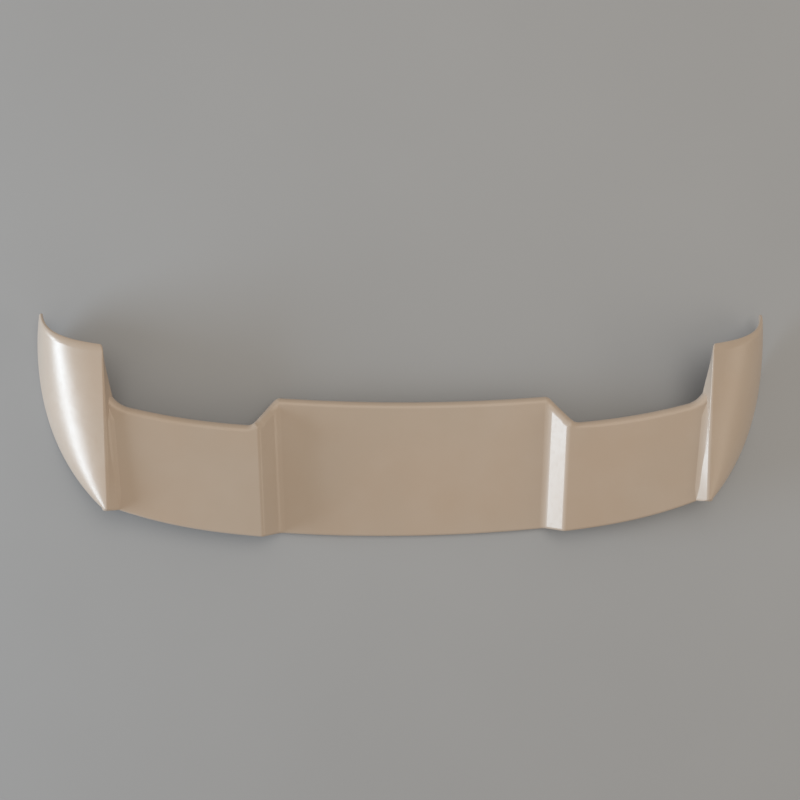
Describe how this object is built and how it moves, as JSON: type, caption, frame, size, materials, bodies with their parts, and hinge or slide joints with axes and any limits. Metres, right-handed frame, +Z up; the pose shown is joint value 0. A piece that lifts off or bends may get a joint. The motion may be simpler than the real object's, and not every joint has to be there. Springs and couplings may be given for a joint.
{
  "type": "roof spoiler",
  "caption": "One-piece moulded roof spoiler for a hatchback: sunk centre panel, stepped side panels and drooping swept ears that wrap the top of a tailgate.",
  "frame": {"origin": "middle of the bounding box's bottom face, on the floor that the spoiler lies on", "axes": "+X across the car towards the spoiler's right end, +Y towards the front of the car, +Z up; the spoiler lies on the outer edges of its two ears and the middle of its trailing edge"},
  "size_m": [1.1772, 0.3551, 0.0874],
  "materials": {
    "moulding": "satin"
  },
  "bodies": {
    "root": {"roof_spoiler": "moulding"}
  },
  "joints": []
}
